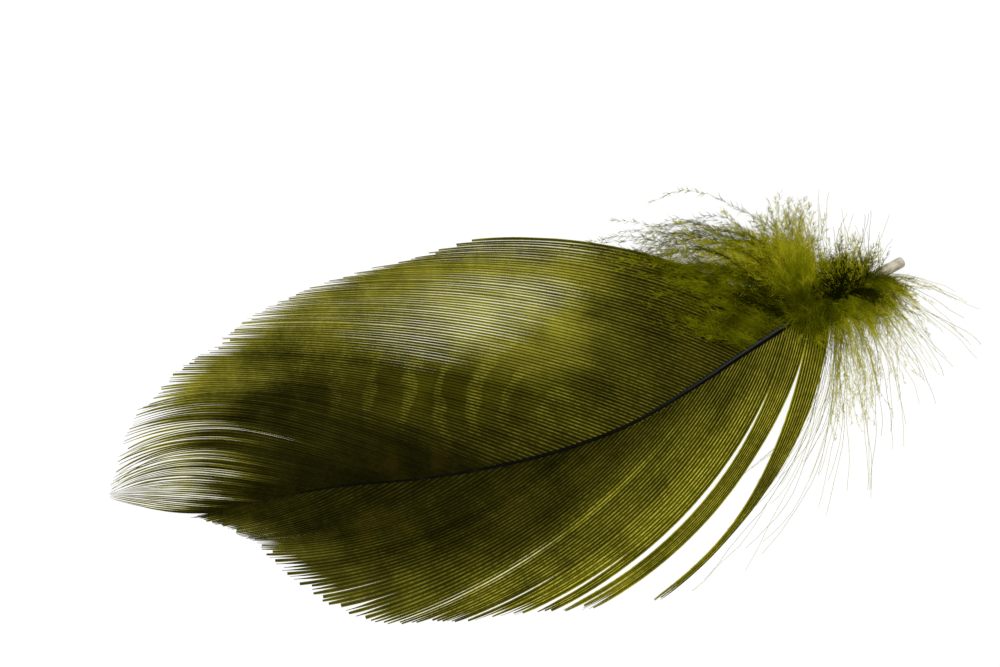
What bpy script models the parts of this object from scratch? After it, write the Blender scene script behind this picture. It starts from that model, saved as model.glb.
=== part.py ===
"""A dyed mallard flank feather, lying face up on a flat surface.

The feather grew as one piece, so it is one solid. A tapering shaft carries a vane, whose
barbs are drawn together into locks that part towards the edge, and the quill end is wrapped
in tufts of down. The tip points to -X and the quill to +X, and the surface is Z = 0.
Lengths below are in millimetres, and angles in degrees.
"""

import math
import random

import bmesh
import bpy

MM = 0.001

# Shaft, from the cut quill end to the tip, seen from above
SHAFT_ROUTE = (
    (44.0, 1.6),
    (33.5, -0.4),
    (25.6, -2.5),
    (19.2, -4.4),
    (12.0, -6.1),
    (4.5, -6.6),
    (-3.0, -6.2),
    (-10.0, -5.3),
    (-20.0, -3.4),
    (-33.5, -2.3),
)
# Middle of everything that the feather covers on the surface, which becomes the origin
CENTRE = (4.5, -3.88)
# Distance along the shaft, height of its centreline, radius
SHAFT_SECTIONS = (
    (0.0, 0.60, 0.60),
    (6.0, 1.15, 0.58),
    (16.0, 3.00, 0.48),
    (32.0, 4.60, 0.37),
    (50.0, 3.60, 0.28),
    (66.0, 1.50, 0.24),
    (79.0, 0.42, 0.22),
)
SHAFT_STEPS = 34
SHAFT_SIDES = 10

# Barbs on each side: distance of the root along the shaft, heading at the root and at the
# tip, length. A heading is measured from -X, outwards from the shaft.
NEAR_BARBS = (
    (8.4, 72, 21, 35.5),
    (14.0, 59, 6, 40.5),
    (19.0, 47, 3, 43.0),
    (26.0, 38, 0, 41.5),
    (36.0, 29, -12, 36.0),
    (47.0, 20, -18, 27.0),
    (60.0, 13, -8, 15.5),
    (68.0, 13, 1, 9.0),
    (77.8, 14, 10, 3.0),
)
FAR_BARBS = (
    (8.4, 60, 22, 23.0),
    (14.0, 49, 8, 39.0),
    (19.0, 43, 9, 45.0),
    (26.0, 40, 12, 46.5),
    (36.0, 38, 16, 43.5),
    (44.0, 37, 18, 40.0),
    (51.0, 36, 20, 35.0),
    (60.0, 27, 16, 27.0),
    (69.0, 20, 15, 18.0),
    (77.8, 17, 14, 9.5),
)
NEAR, FAR = -1, 1
BARBS = {NEAR: NEAR_BARBS, FAR: FAR_BARBS}

# Vane: the two narrow locks next to the down, then even ones to the tip
VANE_START = 8.5
FIRST_LOCKS = (10.85, 13.7)
VANE_END = 77.6
EVEN_LOCKS = 19
VANE_THICKNESS = 0.30
RIDGE_HEIGHT = 0.14
# Share of a barb's length at which the vane has come down to the surface
LANDING = 0.80
BARB_STEPS = 10
# Width that is left of a lock at its tip, as a share
LOCK_TIP_WIDTH = 0.35
# Share of the length at which a lock parts from its neighbour
DEEP_PARTINGS = {NEAR: (0.1, 0.2), FAR: (0.3, 0.5)}
PARTINGS = (0.66, 0.88)

# Tufts of down: distance along the shaft, heading at the root and at the tip, length, and
# how high the tuft stands over the straight line from its root to the surface
NEAR_TUFTS = (
    (3.7, 152, 136, 11.5, 0.6),
    (4.4, 142, 130, 15.0, 1.2),
    (5.2, 130, 118, 14.5, 0.8),
    (6.0, 118, 110, 15.5, 1.4),
    (6.8, 106, 98, 15.0, 0.9),
    (7.6, 97, 90, 17.0, 1.3),
    (8.4, 89, 76, 18.0, 0.8),
    (9.1, 80, 58, 22.0, 1.0),
    (9.6, 74, 34, 31.0, 0.6),
)
FAR_TUFTS = (
    (3.7, 128, 112, 5.0, 0.8),
    (4.7, 116, 104, 6.5, 1.5),
    (5.8, 104, 102, 8.0, 1.0),
    (7.0, 94, 104, 10.5, 1.6),
    (8.2, 84, 106, 13.0, 1.2),
    (9.4, 74, 100, 14.5, 2.0),
    (10.4, 62, 66, 15.0, 1.4),
    (11.4, 52, 36, 20.0, 1.8),
    (12.6, 45, 22, 24.0, 1.4),
    (13.8, 43, 14, 26.0, 2.0),
)
# Short tufts that stand up along the quill and make the down's thick middle
CROWN_TUFTS = (
    (NEAR, 4.6, 120, 112, 5.5, 2.6),
    (FAR, 5.4, 110, 100, 5.5, 3.0),
    (NEAR, 6.6, 92, 88, 6.0, 3.2),
    (FAR, 7.6, 84, 92, 6.5, 3.4),
    (NEAR, 8.8, 70, 60, 6.5, 3.0),
    (FAR, 9.9, 60, 52, 7.5, 2.8),
    (NEAR, 11.0, 58, 40, 6.5, 1.8),
    (FAR, 12.2, 46, 34, 8.0, 2.2),
)
TUFT_STEPS = 6
TUFT_SIDES = 6
# Share of a tuft's length, half its width, half its thickness
TUFT_SECTIONS = (
    (0.0, 0.34, 0.34),
    (0.25, 0.95, 0.62),
    (0.5, 1.20, 0.62),
    (0.8, 0.70, 0.34),
    (1.0, 0.14, 0.10),
)

# Vertices that the joining leaves closer than this become one
MERGE_WITHIN = 0.01

# Faces that meet at a sharper turn than this show an edge
SHARP_FROM = math.radians(40)

OLIVE = (0.115, 0.108, 0.012, 1.0)
OLIVE_ROUGHNESS = 0.62


def smooth_value(table, at, column):
    """The table's column at a distance, on a curve that runs smoothly through its rows."""
    last = len(table) - 1
    at = min(max(at, table[0][0]), table[last][0])
    i = max(k for k in range(last) if table[k][0] <= at)

    def slope(k):
        a, b = max(k - 1, 0), min(k + 1, last)
        return (table[b][column] - table[a][column]) / (table[b][0] - table[a][0])

    span = table[i + 1][0] - table[i][0]
    t = (at - table[i][0]) / span
    start, end = table[i][column], table[i + 1][column]
    return (
        start * (1 + 2 * t) * (1 - t) ** 2
        + end * (3 - 2 * t) * t * t
        + span * (slope(i) * t * (1 - t) ** 2 - slope(i + 1) * (1 - t) * t * t)
    )


def routed(points, per_span=24):
    """Rows of distance, x and y along one smooth curve through the points."""
    rows = []
    numbered = [(i, *p) for i, p in enumerate(points)]
    for k in range((len(points) - 1) * per_span + 1):
        at = k / per_span
        x, y = smooth_value(numbered, at, 1), smooth_value(numbered, at, 2)
        far = rows[-1][0] + math.hypot(x - rows[-1][1], y - rows[-1][2]) if rows else 0.0
        rows.append((far, x, y))
    return rows


SHAFT_LINE = routed(SHAFT_ROUTE)


def shaft_at(distance):
    """The shaft's centre at a distance from the quill end, as x, y and z."""
    x, y = (smooth_value(SHAFT_LINE, distance, c) for c in (1, 2))
    return x, y, smooth_value(SHAFT_SECTIONS, distance, 1)


def swept(start, side, headings, length, share):
    """Where a strand lies, seen from above, when it has run a share of its length."""
    root, tip = headings
    x, y = start
    steps = 12
    for k in range(steps):
        along = share * (k + 0.5) / steps
        heading = math.radians(root + (tip - root) * along)
        x -= math.cos(heading) * length * share / steps
        y += side * math.sin(heading) * length * share / steps
    return x, y


def barb_at(side, distance, share):
    """A point on the underside of the vane: along the shaft, then out along a barb."""
    x, y, z = shaft_at(distance)
    root, tip, length = (smooth_value(BARBS[side], distance, c) for c in (1, 2, 3))
    x, y = swept((x, y), side, (root, tip), length, share)
    down = min(share / LANDING, 1.0)
    standing = (z - VANE_THICKNESS / 2) * (1 - down) ** 2 * (1 + 2 * down)
    return x, y, standing


def lock_edges():
    """Distances along the shaft at which one lock ends and the next begins."""
    first = FIRST_LOCKS[-1]
    step = (VANE_END - first) / EVEN_LOCKS
    return [VANE_START, *FIRST_LOCKS, *(first + step * (k + 1) for k in range(EVEN_LOCKS))]


def parting_rows(side, count):
    """The row of the vane's grid at which each inner lock edge opens. The outer two are open."""
    pick = random.Random(5 + side)
    shares = [*DEEP_PARTINGS[side], *(pick.uniform(*PARTINGS) for _ in range(count))]
    rows = {k + 1: round(shares[k] * BARB_STEPS) for k in range(count - 1)}
    return {0: 0, count: 0, **rows}


def place(bm, point):
    return bm.verts.new([(c - o) * MM for c, o in zip(point, (*CENTRE, 0.0))])


def make_object(name, bm):
    bmesh.ops.recalc_face_normals(bm, faces=bm.faces)
    mesh = bpy.data.meshes.new(name)
    bm.to_mesh(mesh)
    bm.free()
    mesh.shade_smooth()
    mesh.set_sharp_from_angle(angle=SHARP_FROM)
    obj = bpy.data.objects.new(name, mesh)
    bpy.context.scene.collection.objects.link(obj)
    return obj


def make_vane():
    """One closed sheet on both sides of the shaft, slit into tapering locks at its edge."""
    bm = bmesh.new()
    edges = lock_edges()
    count = len(edges) - 1
    made = {}

    def corner(side, lock, column, row, parted):
        """The vertices on top and underneath, shared with the next lock until they part."""
        edge = lock + column // 2
        if row == 0:
            key = ("centre", 2 * lock + column)
        elif column != 1 and row <= parted[edge]:
            key = ("seam", side, edge, row)
        else:
            key = ("own", side, lock, column, row)
        if key not in made:
            share = row / BARB_STEPS
            middle = (edges[lock] + edges[lock + 1]) / 2
            open_from = parted[edge] / BARB_STEPS
            opened = max(share - open_from, 0.0) / (1 - open_from)
            width = 1 - (1 - LOCK_TIP_WIDTH) * opened**1.6
            half = (column - 1) * (edges[lock + 1] - edges[lock]) / 2
            x, y, z = barb_at(side, middle + half * width, share)
            ridge = RIDGE_HEIGHT if column == 1 else 0.0
            top = z + VANE_THICKNESS + ridge * min(share * BARB_STEPS / 2, 1.0)
            made[key] = place(bm, (x, y, top)), place(bm, (x, y, z))
        return made[key]

    def wall(a, b):
        bm.faces.new((a[0], b[0], b[1], a[1]))

    for side in (NEAR, FAR):
        parted = parting_rows(side, count)
        for lock in range(count):
            grid = [
                [corner(side, lock, column, row, parted) for column in range(3)]
                for row in range(BARB_STEPS + 1)
            ]
            for row in range(BARB_STEPS):
                for column in range(2):
                    ring = (
                        grid[row][column],
                        grid[row][column + 1],
                        grid[row + 1][column + 1],
                        grid[row + 1][column],
                    )
                    bm.faces.new([v[0] for v in ring])
                    bm.faces.new([v[1] for v in ring])
                for column in (0, 2):
                    if row >= parted[lock + column // 2]:
                        wall(grid[row][column], grid[row + 1][column])
            for column in range(2):
                wall(grid[BARB_STEPS][column], grid[BARB_STEPS][column + 1])
    return make_object("vane", bm)


def make_tube(name, rings):
    """A closed tube through rings of points."""
    bm = bmesh.new()
    loops = [[place(bm, p) for p in ring] for ring in rings]
    for a, b in zip(loops, loops[1:]):
        for k in range(len(a)):
            n = (k + 1) % len(a)
            bm.faces.new((a[k], a[n], b[n], b[k]))
    bm.faces.new(loops[0])
    bm.faces.new(loops[-1])
    return make_object(name, bm)


def ring_around(centre, across, half_width, half_height, sides):
    """Points of an upright ellipse round a centre."""
    turn = 2 * math.pi / sides
    ring = []
    for k in range(sides):
        out = half_width * math.cos(k * turn)
        up = half_height * math.sin(k * turn)
        ring.append((centre[0] + across[0] * out, centre[1] + across[1] * out, centre[2] + up))
    return ring


def directions(points):
    """The level direction across a run of points, at each of them."""
    across = []
    for k in range(len(points)):
        a, b = points[max(k - 1, 0)], points[min(k + 1, len(points) - 1)]
        dx, dy = b[0] - a[0], b[1] - a[1]
        long = math.hypot(dx, dy)
        across.append((-dy / long, dx / long))
    return across


def make_shaft():
    length = SHAFT_SECTIONS[-1][0]
    stations = [length * k / SHAFT_STEPS for k in range(SHAFT_STEPS + 1)]
    centres = [shaft_at(s) for s in stations]
    rings = []
    for s, centre, across in zip(stations, centres, directions(centres)):
        # A ring of flat-sided points reaches its full radius only at the corners
        radius = smooth_value(SHAFT_SECTIONS, s, 2)
        reach = radius / math.cos(math.pi / SHAFT_SIDES)
        rings.append(ring_around(centre, across, reach, reach, SHAFT_SIDES))
    for ring in rings:
        for k, point in enumerate(ring):
            ring[k] = (point[0], point[1], max(point[2], 0.0))
    return make_tube("shaft", rings)


def make_tuft(name, side, distance, root, tip, length, rise):
    """One lock of down, which leaves the shaft, stands up and comes down to the surface."""
    x, y, z = shaft_at(distance)
    centres = []
    sections = []
    for k in range(TUFT_STEPS + 1):
        share = k / TUFT_STEPS
        px, py = swept((x, y), side, (root, tip), length, share)
        half_width, half_height = (smooth_value(TUFT_SECTIONS, share, c) for c in (1, 2))
        height = z * (1 - share) + rise * 4 * share * (1 - share)
        centres.append((px, py, max(height, half_height)))
        sections.append((half_width, half_height))
    rings = [
        ring_around(centre, across, *section, TUFT_SIDES)
        for centre, across, section in zip(centres, directions(centres), sections)
    ]
    return make_tube(name, rings)


def make_tufts():
    rows = [(NEAR, *row) for row in NEAR_TUFTS] + [(FAR, *row) for row in FAR_TUFTS]
    rows += list(CROWN_TUFTS)
    return [make_tuft(f"tuft_{k:02d}", *row) for k, row in enumerate(rows)]


def olive_keratin():
    material = bpy.data.materials.new("olive_keratin")
    material.use_nodes = True
    shader = material.node_tree.nodes["Principled BSDF"]
    shader.inputs["Base Color"].default_value = OLIVE
    shader.inputs["Roughness"].default_value = OLIVE_ROUGHNESS
    shader.inputs["Metallic"].default_value = 0.0
    material.diffuse_color = OLIVE
    return material


def fuse(name, first, others):
    """Joins the others to the first in one solid. They stay as hidden helpers."""
    helpers = bpy.data.collections.new("joined_in")
    bpy.context.scene.collection.children.link(helpers)
    for obj in others:
        bpy.context.scene.collection.objects.unlink(obj)
        helpers.objects.link(obj)
        obj.hide_render = True
        obj.display_type = "WIRE"
    first.name = name
    join = first.modifiers.new("join", "BOOLEAN")
    join.operation = "UNION"
    join.operand_type = "COLLECTION"
    join.collection = helpers
    join.solver = "EXACT"
    tidy = first.modifiers.new("tidy", "WELD")
    tidy.merge_threshold = MERGE_WITHIN * MM
    return first


def main():
    for obj in list(bpy.data.objects):
        bpy.data.objects.remove(obj)
    feather = fuse("feather", make_vane(), [make_shaft(), *make_tufts()])
    feather.data.materials.append(olive_keratin())


main()
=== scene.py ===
import bpy
import numpy as np
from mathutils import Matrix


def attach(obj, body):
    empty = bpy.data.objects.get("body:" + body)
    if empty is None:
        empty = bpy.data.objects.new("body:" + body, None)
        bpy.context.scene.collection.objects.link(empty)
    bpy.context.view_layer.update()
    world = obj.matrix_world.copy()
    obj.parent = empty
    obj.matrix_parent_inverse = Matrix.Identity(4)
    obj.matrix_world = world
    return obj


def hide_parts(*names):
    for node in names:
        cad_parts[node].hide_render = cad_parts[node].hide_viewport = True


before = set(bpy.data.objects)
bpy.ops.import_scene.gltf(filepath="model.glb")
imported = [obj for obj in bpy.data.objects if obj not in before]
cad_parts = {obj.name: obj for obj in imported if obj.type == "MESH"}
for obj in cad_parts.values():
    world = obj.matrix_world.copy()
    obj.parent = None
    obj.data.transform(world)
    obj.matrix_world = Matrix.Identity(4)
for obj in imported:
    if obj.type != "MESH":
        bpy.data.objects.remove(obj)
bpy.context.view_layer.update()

bl_info = {
    "name": "Olive flank feather",
    "version": (1, 0, 0),
    "blender": (4, 5, 0),
    "location": "3D View > Sidebar > Feather",
    "description": "Grows the shaft, barbs and down of a dyed flank feather on a plain surface",
    "category": "Object",
}

MM = 0.001

# The feather's own plan, in millimetres and degrees, as its solid has it
SHAFT_ROUTE = (
    (44.0, 1.6),
    (33.5, -0.4),
    (25.6, -2.5),
    (19.2, -4.4),
    (12.0, -6.1),
    (4.5, -6.6),
    (-3.0, -6.2),
    (-10.0, -5.3),
    (-20.0, -3.4),
    (-33.5, -2.3),
)
CENTRE = np.array((4.5, -3.88, 0.0))
# Where the camera looks, on the surface, from the feather's middle
VIEW_CENTRE = np.array((2.0, 6.57)) - CENTRE[:2]
# Distance along the shaft, height of its centreline, radius
SHAFT_SECTIONS = (
    (0.0, 0.60, 0.56),
    (3.0, 0.80, 0.58),
    (8.0, 1.50, 0.43),
    (16.0, 3.00, 0.31),
    (25.0, 4.10, 0.25),
    (38.0, 4.50, 0.18),
    (50.0, 3.60, 0.13),
    (62.0, 2.05, 0.09),
    (70.0, 1.05, 0.06),
    (78.6, 0.45, 0.03),
)
VANE_END = 77.6
# How high the vane stands along the shaft
STANDING = (
    (0.0, 0.60),
    (6.0, 1.15),
    (16.0, 3.00),
    (32.0, 4.60),
    (50.0, 3.60),
    (66.0, 1.50),
    (79.0, 0.42),
)
# How far below that the barbs leave the shaft, how high the vane lies where it is flat, and the
# share of a barb's length at which it gets there
ROOT_DROP, SHEET, LANDING = 0.15, 0.10, 0.80
# How deep in the shaft the barbs' roots are, and how low tubes and webs may come
TUCK = 0.35
LOWEST_TUBE, LOWEST_WEB = 0.01, 0.02
# How high strands of down and their hairs may reach
STRAND_TOP, HAIR_TOP = 4.85, 4.95

# Middle of the rings that the dark bars follow
BAR_CENTRE = (1.1 * MM, 1.1 * MM, 0.0)

NEAR, FAR = -1, 1
SIDES = {"near": NEAR, "far": FAR}
# Distance of a barb's root along the shaft, heading at root and tip, length
BARBS = {
    NEAR: (
        (8.4, 72, 21, 35.5),
        (14.0, 59, 6, 40.5),
        (19.0, 47, 3, 43.0),
        (26.0, 38, 0, 41.5),
        (36.0, 29, -12, 36.0),
        (47.0, 20, -18, 27.0),
        (60.0, 13, -8, 15.5),
        (68.0, 9, -5, 9.6),
        (73.0, 5, -8, 5.6),
        (77.8, 0, -8, 2.0),
    ),
    FAR: (
        (8.4, 60, 22, 23.0),
        (14.0, 49, 8, 39.0),
        (19.0, 43, 9, 45.0),
        (26.0, 40, 12, 46.5),
        (36.0, 38, 16, 43.5),
        (44.0, 39, 17, 40.0),
        (51.0, 39, 19, 35.5),
        (60.0, 31, 15, 28.0),
        (69.0, 24, 14, 18.8),
        (77.8, 14, 36, 10.0),
    ),
}
# Where the barbs' rows begin on each side
FIRST_BARB = {NEAR: 8.6, FAR: 13.0}
# Where the near vane's two strips of clinging barbs end, and where a thin seam of light runs
# out through it
FIRST_STRIP_END, LAST_STRIP_END, SEAM = 10.85, 13.7, 23.4
# Where the vane parts: distance along the shaft, share of the length at which the slit
# opens, how far each side draws back, how far along the shaft the barbs beside it follow
PARTINGS = {
    NEAR: (
        (LAST_STRIP_END, 0.03, 0.17, 1.6),
        (12.5, 0.60, 0.10, 0.8),
        (14.6, 0.60, 0.24, 0.7),
        (15.7, 0.76, 0.28, 0.6),
        (16.7, 0.55, 0.32, 0.7),
        (17.8, 0.58, 0.46, 0.8),
        (20.9, 0.80, 0.30, 0.8),
        (22.8, 0.42, 0.09, 0.5),
        (SEAM, 0.34, 0.09, 0.4),
        (24.0, 0.45, 0.11, 0.5),
        (29.5, 0.84, 0.14, 1.0),
        (36.0, 0.86, 0.16, 1.2),
        (70.0, 0.10, 0.10, 1.5),
    ),
    FAR: (
        (31.0, 0.80, 0.14, 1.2),
        (42.0, 0.76, 0.20, 1.0),
        (47.0, 0.74, 0.22, 1.2),
        (53.0, 0.68, 0.22, 1.0),
        (58.0, 0.62, 0.20, 1.2),
        (62.5, 0.56, 0.22, 1.2),
        (66.5, 0.50, 0.24, 1.4),
        (71.0, 0.46, 0.24, 1.2),
    ),
}
# Strips of barbs that cling together: first and last distance along the shaft, the distance
# that they gather round, width that is left, share at which they are narrowest
STRIPS = {
    NEAR: (
        (8.0, FIRST_STRIP_END, 9.3, 0.24, 0.78),
        (FIRST_STRIP_END, LAST_STRIP_END, 12.9, 0.60, 0.45),
    ),
    FAR: (),
}

# Patches of down: distance along the shaft, heading at root and tip, length, rise
DOWN = {
    "hanging": (
        (3.3, 154, 142, 6.0, 0.6),
        (4.2, 138, 124, 8.5, 1.2),
        (5.0, 116, 100, 11.5, 0.8),
        (5.8, 100, 86, 13.5, 1.4),
        (6.6, 92, 78, 14.0, 0.9),
        (7.6, 86, 74, 14.5, 1.3),
        (8.6, 82, 72, 15.0, 0.8),
    ),
    "loose": (
        (3.2, 160, 132, 12.5, 0.6),
        (5.0, 136, 110, 15.0, 0.8),
        (6.6, 108, 86, 18.0, 0.8),
        (8.0, 92, 60, 22.0, 0.8),
        (9.1, 82, 44, 25.0, 0.8),
        (9.8, 76, 30, 28.0, 0.6),
    ),
    "stray": ((3.4, 124, 120, 7.0, 1.0), (6.0, 106, 112, 8.0, 1.2), (9.0, 90, 110, 12.0, 1.4)),
    "plume": ((9.8, 84, 118, 10.2, 1.6), (10.8, 74, 114, 12.4, 1.8), (12.0, 60, 110, 12.4, 1.4)),
    "band": (
        (9.6, 80, -4, 22.5, 0.9),
        (11.0, 74, -12, 25.0, 0.9),
        (12.4, 66, -14, 26.0, 0.8),
        (13.6, 56, -10, 26.0, 0.6),
    ),
    "fuzz": ((11.5, 52, 30, 13.0, 0.4), (15.0, 45, 20, 15.0, 0.3), (19.0, 42, 24, 12.0, 0.2)),
    "veil": ((9.6, 90, 50, 10.5, 0.9), (11.0, 80, 30, 14.0, 0.8), (12.4, 70, 16, 17.5, 0.6)),
    "short": (
        (4.6, 112, 108, 2.4, 1.2),
        (5.2, 110, 104, 3.0, 1.4),
        (5.8, 104, 102, 3.6, 1.8),
        (7.0, 94, 104, 4.0, 2.0),
        (8.6, 84, 100, 5.5, 2.0),
    ),
    "core": (
        (3.6, 142, 128, 4.2, 1.2),
        (5.4, 122, 110, 5.0, 1.6),
        (7.6, 98, 88, 5.0, 1.4),
        (9.2, 82, 68, 4.6, 1.0),
    ),
    "crown": (
        (4.3, 146, 130, 4.2, 0.9),
        (5.6, 122, 108, 5.2, 1.2),
        (7.6, 92, 98, 5.4, 1.3),
        (9.9, 76, 76, 5.4, 1.2),
        (12.0, 58, 46, 5.0, 0.8),
    ),
    "tangle": (
        (5.0, 88, 92, 3.8, 1.1),
        (6.4, 90, 94, 5.4, 1.3),
        (8.2, 90, 92, 6.0, 1.3),
        (10.0, 82, 80, 5.6, 1.2),
        (12.2, 60, 48, 5.0, 0.8),
    ),
    "arc": ((8.2, 82, 32, 30.0, 0.5), (9.2, 78, 24, 34.0, 0.5)),
    "fan": ((3.2, 154, 144, 4.8, 1.0), (4.2, 138, 124, 6.0, 1.2), (6.6, 110, 96, 7.0, 1.2)),
    # The next two patches hold near-black strands: painted shadow in a hollow of the down and along
    # the shaded undersides of strands.
    "shadow_hollow": ((6.6, 92, 98, 3.9, 4.2), (8.2, 84, 90, 4.3, 4.2)),
    "shadow_streak": ((6.2, 158, 142, 4.4, 4.0), (7.2, 152, 136, 4.8, 4.0)),
}
# Pieces of down: patch, side, share of the strands, how far they stray in degrees or 0 for
# tangled ones, hairs' length and width as shares of the settings, depth of colour at root and
# tip from 0, black, painted shade in thick down, over 0.5, full olive, to 1, sheer, painted light
# through thin hairs
DOWN_PIECES = {
    "hanging_down": (
        ("hanging", NEAR, 0.56, 12, 0.50, 1.0, 0.38, 1.0),
        ("fan", NEAR, 0.55, 12, 0.55, 1.5, 0.24, 0.62),
    ),
    "loose_down": (
        ("loose", NEAR, 0.36, 15, 0.14, 0.8, 0.50, 0.90),
        ("arc", NEAR, 0.09, 5, 0.05, 0.8, 0.60, 0.90),
        ("stray", FAR, 0.16, 17, 0.16, 0.8, 0.50, 0.85),
    ),
    "plume_down": (
        ("plume", FAR, 0.76, 12, 0.75, 1.4, 0.20, 0.72),
        ("short", FAR, 0.40, 17, 0.50, 0.9, 0.42, 0.95),
    ),
    "band_down": (("band", FAR, 0.66, 9, 0.72, 1.4, 0.04, 0.44),),
    "veil_down": (
        ("veil", FAR, 0.72, 11, 0.80, 1.5, 0.36, 0.85),
        ("fuzz", FAR, 0.24, 10, 0.70, 1.2, 0.25, 0.40),
    ),
    "crown_down": (
        ("crown", NEAR, 0.80, 0, 0.60, 1.6, 0.26, 0.58),
        ("tangle", FAR, 1.20, 0, 0.60, 1.8, 0.26, 0.58),
        ("core", NEAR, 0.44, 17, 0.60, 1.4, 0.24, 0.62),
        # Near-black strands: painted shadow in a hollow and along shaded undersides.
        ("shadow_hollow", FAR, 0.42, 0, 0.40, 2.1, 0.0, 0.06),
        ("shadow_streak", NEAR, 0.20, 7, 0.40, 1.8, 0.0, 0.08),
    ),
}
# A patch whose hairs are shorter than this share has nearly bare, straighter strands
BARE_HAIRS = 0.25
# Lengths of mesh along a strand of down, and along a tangled one
STRAND_STEPS, TANGLE_STEPS = 20, 9
# Seeds of the random draws
VANE_SEED, DOWN_SEED = 11, 21


def length_setting(name, description, default, **limits):
    """A length for the panel, in metres."""
    return bpy.props.FloatProperty(
        name=name, description=description, default=default, unit="LENGTH", precision=6, **limits
    )


def colour_setting(name, description, default):
    """A colour for the panel."""
    return bpy.props.FloatVectorProperty(
        name=name, description=description, default=default, subtype="COLOR"
    )


class FeatherBarbs(bpy.types.PropertyGroup):
    gap: length_setting(
        "Barb gap", "Distance between neighbouring barbs, across them", 0.31 * MM, min=0.1 * MM
    )
    quill_width: length_setting(
        "Barb thickness", "Width of a barb's own shaft at its root", 0.095 * MM
    )
    web_cover: bpy.props.FloatProperty(
        name="Web cover",
        description="Share of the gap between two barbs that their webs close",
        default=0.97,
        min=0.1,
        max=1.0,
        subtype="FACTOR",
    )
    web_droop: length_setting(
        "Web droop", "How far the web's edges hang below the barb", 0.045 * MM
    )
    steps: bpy.props.IntProperty(
        name="Steps", description="Lengths of mesh along a barb", default=100, min=8, max=200
    )


class FeatherDown(bpy.types.PropertyGroup):
    strands: bpy.props.IntProperty(
        name="Strands", description="Strands in a full piece of down", default=200, min=10
    )
    hair_gap: length_setting(
        "Hair gap", "Distance between hairs along one side of a strand", 0.105 * MM
    )
    hair_length: length_setting(
        "Hair length", "Length of the hairs at the root of a strand", 2.3 * MM
    )
    hair_width: length_setting("Hair width", "Width of a hair at its root", 0.036 * MM)
    strand_width: length_setting(
        "Strand width", "Thickness of a strand at its root", 0.055 * MM
    )


class FeatherDye(bpy.types.PropertyGroup):
    web: colour_setting("Web", "Closed web of the vane", (0.058, 0.0545, 0.0012))
    glow: colour_setting(
        "Glow", "Thin edge of a web, with light through it", (0.520, 0.480, 0.080)
    )
    sheer: colour_setting(
        "Sheer web", "Web so thin that light comes through it", (0.330, 0.310, 0.030)
    )
    barb: colour_setting("Barb", "The barb's own shaft", (0.013, 0.0112, 0.0003))
    bar: colour_setting("Bars", "Dark wavy bars of the plumage", (0.044, 0.042, 0.0012))
    down: colour_setting(
        "Down", "Down where it is neither thick nor thin", (0.104, 0.110, 0.0016)
    )
    # The near-black down root is painted shade, where the down lies thick.
    down_root_shade: colour_setting(
        "Down root", "Root of the down, where it is thick", (0.0055, 0.0066, 0.0002)
    )
    down_tip: colour_setting(
        "Down tip", "Outer hairs of the down, with light through them", (0.360, 0.335, 0.012)
    )
    shaft: colour_setting("Shaft", "Shaft along the vane", (0.0022, 0.0023, 0.0020))
    quill: colour_setting("Quill", "Bare end of the quill", (0.50, 0.46, 0.36))


class FeatherStage(bpy.types.PropertyGroup):
    floor_size: length_setting("Floor size", "Side of the surface", 1.6)
    view_width: length_setting(
        "View width", "Width of the surface that the picture takes in", 103.3 * MM
    )
    view_turn: bpy.props.FloatProperty(
        name="View turn",
        description="Turn of the camera about the upright",
        default=np.radians(-16.94),
        subtype="ANGLE",
    )
    lens: bpy.props.FloatProperty(
        name="Lens", description="Focal length of the camera", default=100.0, unit="CAMERA"
    )
    key_power: bpy.props.FloatProperty(
        name="Key light", description="Power of the large light overhead", default=5.5, unit="POWER"
    )


def smooth_values(table, at, column):
    """The table's column at distances, on a curve that runs smoothly through its rows."""
    rows = np.array(table, float)
    x, y = rows[:, 0], rows[:, column]
    row = np.arange(len(x))
    ahead, behind = np.minimum(row + 1, len(x) - 1), np.maximum(row - 1, 0)
    slope = (y[ahead] - y[behind]) / (x[ahead] - x[behind])
    at = np.clip(at, x[0], x[-1])
    i = np.clip(np.searchsorted(x, at, side="right") - 1, 0, len(x) - 2)
    span = x[i + 1] - x[i]
    t = (at - x[i]) / span
    return (
        y[i] * (1 + 2 * t) * (1 - t) ** 2
        + y[i + 1] * (3 - 2 * t) * t * t
        + span * (slope[i] * t * (1 - t) ** 2 - slope[i + 1] * (1 - t) * t * t)
    )


def routed(points, per_span=24):
    """Rows of distance, x and y along one smooth curve through the points."""
    numbered = [(i, *p) for i, p in enumerate(points)]
    at = np.linspace(0, len(points) - 1, (len(points) - 1) * per_span + 1)
    x, y = (smooth_values(numbered, at, c) for c in (1, 2))
    steps = np.hypot(np.diff(x), np.diff(y))
    return np.column_stack([np.concatenate([[0.0], np.cumsum(steps)]), x, y])


SHAFT_LINE = routed(SHAFT_ROUTE)


def shaft_plan(distance):
    """The shaft's centre at distances from the quill end, seen from above."""
    return (np.interp(distance, SHAFT_LINE[:, 0], SHAFT_LINE[:, c]) for c in (1, 2))


def swept(start, side, root, tip, length, share):
    """Where strands lie, seen from above, when they have run a share of their length."""
    root, tip = np.radians(root), np.radians(tip)
    turn = np.where(np.abs(tip - root) < 0.001, 0.001, tip - root)
    now = root + turn * share
    x = start[0] - length * (np.sin(now) - np.sin(root)) / turn
    y = start[1] + side * length * (np.cos(root) - np.cos(now)) / turn
    return x, y


def ease(low, high, value):
    """0 below low, 1 above high, and a smooth step between them."""
    t = np.clip((value - low) / (high - low), 0.0, 1.0)
    return t * t * (3 - 2 * t)


def bell(value, middle, width):
    """1 at the middle, and falling to 0 on both sides of it."""
    return np.exp(-(((value - middle) / width) ** 2))


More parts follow.
